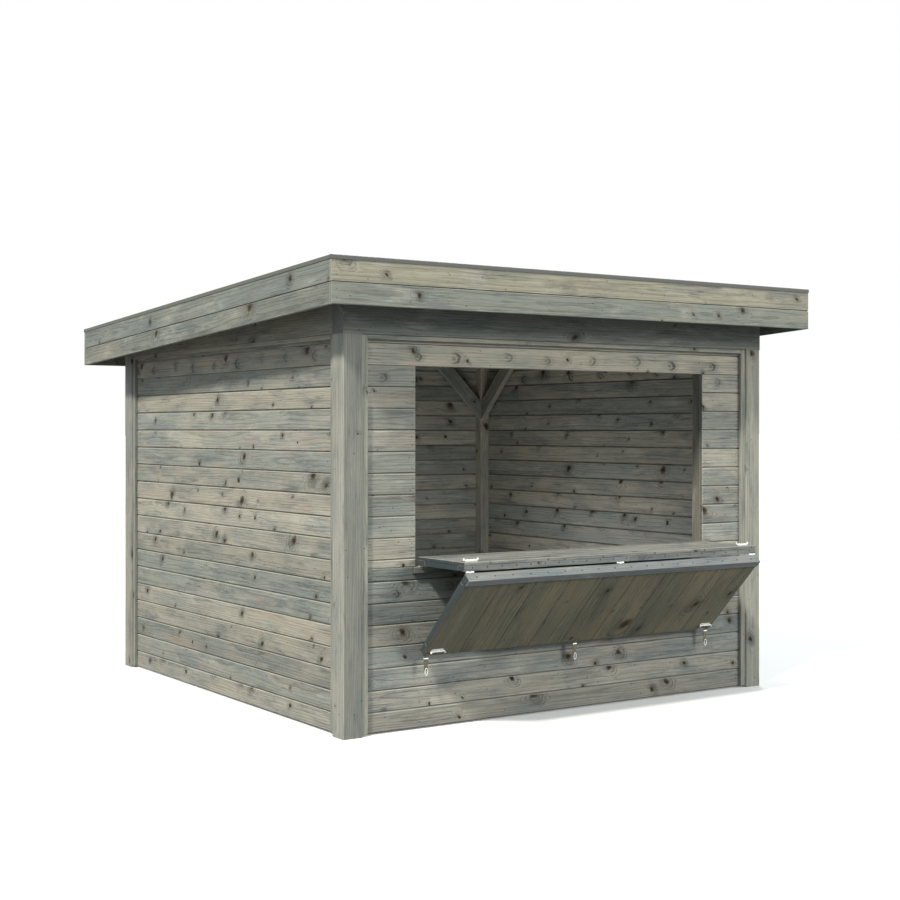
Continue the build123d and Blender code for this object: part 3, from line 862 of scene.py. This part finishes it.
rails(sticks, fold_line + INWARD * FOLD_OUT, ALONG, INWARD, leaf_half, FOLD_GAP, flap_end, LEAF_FRAME)
sticks.place("flap.frame", LEAF_WOOD, "flap", "leaf_wood", "flap_frame")
sticks, nails = Stock(131, RIGHT), Stock(132)
wide = 2 * leaf_half / FLAP_BOARDS
base = fold_line + INWARD * (FOLD_OUT + LEAF_FRAME) + ALONG * FOLD_GAP - RIGHT * leaf_half
for row in range(FLAP_BOARDS):
    foot = row * wide + (FLAP_JOINT / 2 if row else 0)
    head = (row + 1) * wide - (FLAP_JOINT / 2 if row < FLAP_BOARDS - 1 else 0)
    outline = [(0, foot), (flap_end - FOLD_GAP, foot), (flap_end - FOLD_GAP, head), (0, head)]
    sticks.board(base, ALONG, RIGHT, INWARD, outline, LEAF_BOARD, FLAP_EASE)
    if row < FLAP_BOARDS - 1:
        sticks.tongue(base + INWARD * TONGUE_THICK + RIGHT * (head - TONGUE_HIGH / 2), ALONG, RIGHT, INWARD,
                      flap_end - FOLD_GAP)
    for far in (FLAP_NAIL_HEAD, flap_end - FLAP_NAIL_FOOT):
        nail(nails, base + ALONG * far + RIGHT * (row + 0.5) * wide + INWARD * LEAF_BOARD, INWARD)
sticks.place("flap.boards", FLAP_WOOD, "flap", "leaf_wood", "flap_boards")
sticks = Stock(133, RIGHT)
sticks.bar(fold_line + INWARD * flap_face + ALONG * FOLD_GAP - RIGHT * leaf_half, RIGHT, ALONG, INWARD,
           rectangle(BATTEN_WIDE, BATTEN), 2 * leaf_half)
sticks.bar(fold_line + INWARD * FOLD_OUT + ALONG * (FOLD_GAP - LIP) - RIGHT * leaf_half, RIGHT, ALONG, INWARD,
           rectangle(LIP, flap_face + BATTEN - FOLD_OUT), 2 * leaf_half, LIP_EASE)
BATTEN_WOOD = wood("flap_batten", (138, 140, 136), (122, 129, 131), (102, 112, 118),
                   (136, 132, 126), 0.1, 0.8, 0.5)
sticks.place("flap.batten", BATTEN_WOOD, "flap", "leaf_wood", "flap_batten")
lip_face = fold_line + ALONG * (FOLD_GAP - LIP) + INWARD * (FOLD_OUT + LEAF_FRAME)
for x in spread(leaf_half, BATTEN_NAILS, BATTEN_NAIL_IN):
    nail(nails, lip_face + RIGHT * x, -ALONG, LEAF_NAIL)
nails.place("flap.nails", NAIL_STEEL, "flap", "zinc")

# HINGES
# Butt hinges of bright zinc plate, three on each line, held by screws.
# The fixed leaf holds the pin, and the middle knuckle turns on it.
ZINC, zinc_surface, zinc_place, _ = material("bright_zinc", 0.35)
spangle = zinc_place.speckle(160.0, 160.0, 160.0, 2.0)
finish(zinc_surface, spangle.step(0.3, 0.75).mix(linear(246, 246, 244), linear(226, 228, 228)),
       0.25 + 0.2 * spangle, spangle, 0.15, 0.0003)
HINGE_HALF = 0.024
TUBE_HALF = 0.008
KNUCKLE = 0.004
KNUCKLE_EASE = 0.0005
KNUCKLE_PLAY = 0.001
PLATE = 0.002
PLATE_LONG = 0.030
PLATE_CORNER = 0.003
METAL_EASE = 0.0003
OFF = 0.005
TAB = 0.006
WEB = 0.004
WEB_HIGH = 0.005
WEB_DROP = 0.0065
SCREW = 0.0035
SCREW_PROUD = 0.0008
SCREW_FAR = 0.62 * PLATE_LONG
SCREW_APART = 0.014
TUBE_ENDS = ((-HINGE_HALF, -TUBE_HALF - KNUCKLE_PLAY), (TUBE_HALF + KNUCKLE_PLAY, HINGE_HALF))


def barrel(sticks, middle, start, stop):
    sticks.solid(middle + RIGHT * start, BACK, UP, RIGHT, circle(KNUCKLE, 16), stop - start, AXES, KNUCKLE_EASE)


def plate(sticks, corner, along, out, outline, thick):
    """A piece of flat metal, its outline running right and along."""
    sticks.solid(corner, RIGHT, along, out, outline, thick, (RIGHT, along, out), METAL_EASE)


def hinge_plate(sticks, corner, along, out):
    """A flat leaf with rounded corners and its screw heads."""
    plate(sticks, corner - RIGHT * HINGE_HALF, along, out,
          rounded(2 * HINGE_HALF, PLATE_LONG, PLATE_CORNER), PLATE)
    for x in (-SCREW_APART, SCREW_APART):
        head = corner + RIGHT * x + along * SCREW_FAR + out * PLATE
        plate(sticks, head, along, out, circle(SCREW, 12), SCREW_PROUD)


low, high, size = extent("wall_hinges")
wall_side, counter_side, fold_side, flap_side = Stock(140), Stock(141), Stock(142), Stock(143)
for x in (low.x + HINGE_HALF, (low.x + high.x) / 2, high.x - HINGE_HALF):
    axis = Vector((x, hinge_line.y, hinge_line.z))
    plate(wall_side, Vector((x - HINGE_HALF, low.y, low.z)), BACK, UP,
          rounded(2 * HINGE_HALF, size.y, PLATE_CORNER), PLATE)
    for start, stop in TUBE_ENDS:
        barrel(wall_side, axis, start, stop)
        plate(wall_side, axis + RIGHT * start - BACK * WEB / 2 - UP * WEB_DROP, BACK, UP,
              rectangle(stop - start, WEB), WEB_HIGH)
    barrel(counter_side, axis, -TUBE_HALF, TUBE_HALF)
    hinge_plate(counter_side, axis - BACK * OFF + UP * PLATE, -BACK, -UP)
    plate(counter_side, axis - RIGHT * TUBE_HALF - BACK * TAB, BACK, UP, rectangle(2 * TUBE_HALF, TAB), PLATE)
    fold = Vector((x, fold_line.y, fold_line.z))
    for start, stop in TUBE_ENDS:
        barrel(fold_side, fold, start, stop)
        plate(fold_side, fold + RIGHT * start, BACK, UP, rectangle(stop - start, OFF), OFF)
    hinge_plate(fold_side, fold + BACK * OFF + UP * OFF, BACK, -UP)
    barrel(flap_side, fold, -TUBE_HALF, TUBE_HALF)
    plate(flap_side, fold - RIGHT * TUBE_HALF, ALONG, INWARD, rectangle(2 * TUBE_HALF, TAB), OFF)
    hinge_plate(flap_side, fold + ALONG * OFF + INWARD * OFF, ALONG, -INWARD)
wall_side.place("wall_hinges.zinc", ZINC, "stall", "zinc", "wall_hinges")
counter_side.place("counter_hinges.zinc", ZINC, "counter", "zinc", "counter_hinges")
fold_side.place("fold_hinges.zinc", ZINC, "counter", "zinc", "fold_hinges")
flap_side.place("flap_hinges.zinc", ZINC, "flap", "zinc", "flap_hinges")

# BOLTS AND HASPS
# Tower bolts of bright zinc, screwed near the ends of both leaves to slide into the jambs.
# Three hasps with dark olive metal straps, zinc knuckles and rings hang from the flap's free edge.
BOLT_LONG = 0.100
BOLT_LIFT = 0.019
BOLT_BACK = 0.042
BOLT_INSET = 0.018
BOLT_ROD = 0.005
BOLT_RISE = 0.007
BOLT_TIP = BOLT_LONG - 0.006
BOLT_BEND = ((0.006, BOLT_LIFT), (0.006, 0.010), (0.0075, 0.0078), (0.010, BOLT_RISE), (BOLT_TIP, BOLT_RISE))
BOLT_LOOP = ((BOLT_TIP, BOLT_RISE), (BOLT_TIP, 0.0135), (BOLT_TIP, BOLT_LIFT))
BOLT_PLATE = 0.0016
BOLT_PLATE_IN = 0.012
BOLT_PLATE_WIDE = 0.022
KEEPER = 0.0075
KEEPER_WIRE = 0.0022
KEEPER_FOOT = 0.001
KEEPER_RISE = 0.005
KEEPERS = (0.028, BOLT_LONG - 0.026)


def tube(sticks, path, radius, sides=10, closed=False):
    """A round rod bent along a path."""
    points, faces = [], []
    count = len(path)
    for i, place in enumerate(path):
        before = path[i - 1] if i or closed else place
        after = path[(i + 1) % count] if i < count - 1 or closed else place
        run = (after - before).normalized()
        side = run.cross(BACK if abs(run.y) < 0.8 else UP).normalized()
        up = run.cross(side)
        for k in range(sides):
            angle = 2 * math.pi * k / sides
            points.append(place + side * radius * math.cos(angle) + up * radius * math.sin(angle))
    for i in range(count if closed else count - 1):
        for k in range(sides):
            j, m = (i + 1) % count, (k + 1) % sides
            faces.append([i * sides + k, i * sides + m, j * sides + m, j * sides + k])
    if not closed:
        faces += [list(range(sides)), [(count - 1) * sides + k for k in range(sides)]]
    sticks.lay(points, faces, AXES)


def bolt(sticks, base, hand, along, out):
    """A rod with a turned-up handle, in two keepers on a long plate. Hand points to the jamb."""
    start = base + hand * (leaf_half - BOLT_INSET - BOLT_LONG)
    outline = rounded(BOLT_LONG - 2 * BOLT_PLATE_IN, BOLT_PLATE_WIDE, PLATE_CORNER)
    corner = start - along * BOLT_PLATE_WIDE / 2 + hand * BOLT_PLATE_IN
    sticks.solid(corner, hand, along, out, outline, BOLT_PLATE, (hand, along, out), METAL_EASE)
    tube(sticks, [start + hand * far + out * rise for far, rise in BOLT_BEND], BOLT_ROD)
    for far in KEEPERS:
        middle = start + hand * far
        arch = [middle + along * KEEPER * math.cos(a) + out * (KEEPER_RISE + KEEPER * math.sin(a))
                for a in [math.pi * i / 8 for i in range(9)]]
        feet = [middle + along * side * KEEPER + out * KEEPER_FOOT for side in (1, -1)]
        tube(sticks, feet[:1] + arch + feet[1:], KEEPER_WIRE, 8)
    tube(sticks, [start + hand * far + out * rise for far, rise in BOLT_LOOP], BOLT_ROD)


counter_bolts, flap_bolts = Stock(150), Stock(151)
low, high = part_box("counter_boards")
for hand in (RIGHT, -RIGHT):
    bolt(counter_bolts, Vector((0, low.y + BOLT_BACK, high.z)), hand, BACK, UP)
    bolt(flap_bolts, fold_line + ALONG * (flap_end - BOLT_BACK) + INWARD * flap_face, hand, ALONG, INWARD)
counter_bolts.place("counter_bolts.zinc", ZINC, "counter", "zinc", "counter_bolts")
flap_bolts.place("flap_bolts.zinc", ZINC, "flap", "zinc", "flap_bolts")
OLIVE, olive_surface, olive_place, _ = material("dark_olive_metal", 0.6)
haze = olive_place.speckle(120.0, 120.0, 120.0, 3.0)
finish(olive_surface, haze.step(0.3, 0.7).mix(linear(104, 102, 80), linear(76, 77, 63)), 0.4 + 0.2 * haze,
       haze, 0.2, 0.0003)
HASP_HALF = 0.014
HASP_LONG = 0.092
HASP_STRAP = 0.066
HASP_REACH = 0.020
HASP_INSET = 0.024
HASP_PLATE = 0.0025
HASP_KNUCKLE = 0.0055
HASP_CORNER = 0.004
HASP_EASE = 0.0004
HASP_SHARE = 0.9
RING_WIDE = 0.008
RING_HIGH = 0.0185
RING_WIRE = 0.0023
RING_UP = 0.021
RING_OUT = 0.004
RING_STEPS = 24
hasps, straps = Stock(152), Stock(153)
reach = leaf_half - HASP_INSET
for x in (-reach, 0.0, reach):
    tip = fold_line + RIGHT * x + ALONG * (flap_end + HASP_REACH) + INWARD * (flap_face + HASP_PLATE / 2)
    corner = tip - RIGHT * HASP_HALF - ALONG * 2 * HASP_REACH - INWARD * HASP_PLATE / 2
    straps.solid(corner, RIGHT, ALONG, INWARD, rounded(2 * HASP_HALF, 2 * HASP_REACH, PLATE_CORNER),
                 HASP_PLATE, (RIGHT, ALONG, INWARD), HASP_EASE)
    hasps.solid(tip - RIGHT * HASP_HALF, BACK, UP, RIGHT, circle(HASP_KNUCKLE, 16), 2 * HASP_HALF,
                AXES, KNUCKLE_EASE)
    strap = HASP_HALF * HASP_SHARE
    corner = tip - RIGHT * strap - BACK * HASP_PLATE / 2 - UP * HASP_STRAP
    straps.solid(corner, RIGHT, UP, BACK, rounded(2 * strap, HASP_STRAP, HASP_CORNER),
                 HASP_PLATE, (UP, RIGHT, BACK), HASP_EASE)
    middle = tip - UP * (HASP_LONG - RING_UP) - BACK * RING_OUT
    ring = [middle + RIGHT * RING_WIDE * math.cos(a) + UP * RING_HIGH * math.sin(a)
            for a in [2 * math.pi * i / RING_STEPS for i in range(RING_STEPS)]]
    tube(hasps, ring, RING_WIRE, 8, True)
hasps.place("flap_hasps.zinc", ZINC, "flap", "zinc", "flap_hasps")
straps.place("flap_hasps.straps", OLIVE, "flap", "zinc")

# STAGE
# A pale matt floor and a white backdrop. The key sun comes from the front left, a weaker one from the
# front right and a rim sun from the right behind, all soft; a faint lamp inside lifts the dark.
scene = bpy.context.scene
scene.view_settings.view_transform = "Standard"
floor_mesh = bpy.data.meshes.new("floor")
FAR = 400.0
floor_mesh.from_pydata([(-FAR, -FAR, 0), (FAR, -FAR, 0), (FAR, FAR, 0), (-FAR, FAR, 0)], [], [(0, 1, 2, 3)])
floor = bpy.data.objects.new("floor", floor_mesh)
scene.collection.objects.link(floor)
pale = bpy.data.materials.new("pale_floor")
pale.use_nodes = True
floor_surface = pale.node_tree.nodes["Principled BSDF"]
floor_surface.inputs["Roughness"].default_value = 1.0
floor_surface.inputs["Specular IOR Level"].default_value = 0.0
WHITE = (1.0, 1.0, 1.0, 1.0)


def shown(ink):
    """One for rays that show the background: from the camera, a reflection or through a clear piece."""
    kinds = ("Is Camera Ray", "Is Glossy Ray", "Is Transmission Ray")
    rays = [ink.node("ShaderNodeLightPath", {}, {}, kind) for kind in kinds]
    return rays[0] + rays[1] + rays[2]


seen = shown(Ink(pale.node_tree, floor_surface.outputs[0]))
seen.mix((0.08, 0.08, 0.08, 1.0), (0.92, 0.92, 0.92, 1.0)).feed(floor_surface.inputs["Base Color"])
seen.mix((0.84, 0.86, 0.86, 1.0), WHITE).feed(floor_surface.inputs["Emission Color"])
floor_surface.inputs["Emission Strength"].default_value = 0.10
floor_mesh.materials.append(pale)
world = bpy.data.worlds.new("studio")
world.use_nodes = True
scene.world = world
background = world.node_tree.nodes["Background"]
sky = shown(Ink(world.node_tree, background.outputs[0]))
sky.mix((0.57, 0.635, 0.67, 1.0), WHITE).feed(background.inputs["Color"])


def sun(name, energy, angle, aim, colour):
    """A distant lamp that shines along aim, as wide as the angle in degrees."""
    data = bpy.data.lights.new(name, "SUN")
    data.energy = energy
    data.angle = math.radians(angle)
    data.color = colour
    lamp = bpy.data.objects.new(name, data)
    lamp.rotation_mode = "QUATERNION"
    lamp.rotation_quaternion = Vector(aim).to_track_quat("-Z", "Y")
    scene.collection.objects.link(lamp)


sun("sun", 3.3, 6.0, (1.0, 0.46, -1.25), (1.0, 0.95, 0.86))
sun("fill", 1.42, 16.0, (-0.67, 1.0, -0.48), (1.0, 0.97, 0.91))
sun("rim", 1.6, 20.0, (-0.75, -1.0, -0.8), (1.0, 1.0, 1.0))
inner_data = bpy.data.lights.new("inner", "AREA")
inner_data.shape = "SQUARE"
inner_data.size = 1.2
inner_data.energy = 16.5
inner = bpy.data.objects.new("inner", inner_data)
inner.location = (0.5, -0.1, 0.02)
inner.rotation_euler = (math.pi, 0.0, 0.0)
inner.visible_camera = False
scene.collection.objects.link(inner)

# CAMERA
# A level camera at eye height, off the front left corner.
# Its lens is shifted down a little, so that the uprights stay parallel.
EYE_LEFT = 3.870
EYE_FRONT = 6.7865
EYE_HIGH = 1.611
EYE_TURN = -33.765
low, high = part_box("post_front_left")
camera_data = bpy.data.cameras.new("camera")
camera_data.sensor_width = 36.0
camera_data.lens = 60.02
camera_data.shift_y = -0.02202
camera = bpy.data.objects.new("camera", camera_data)
camera.location = (low.x - EYE_LEFT, low.y - EYE_FRONT, EYE_HIGH)
camera.rotation_euler = (math.radians(90), 0, math.radians(EYE_TURN))
scene.collection.objects.link(camera)
scene.camera = camera
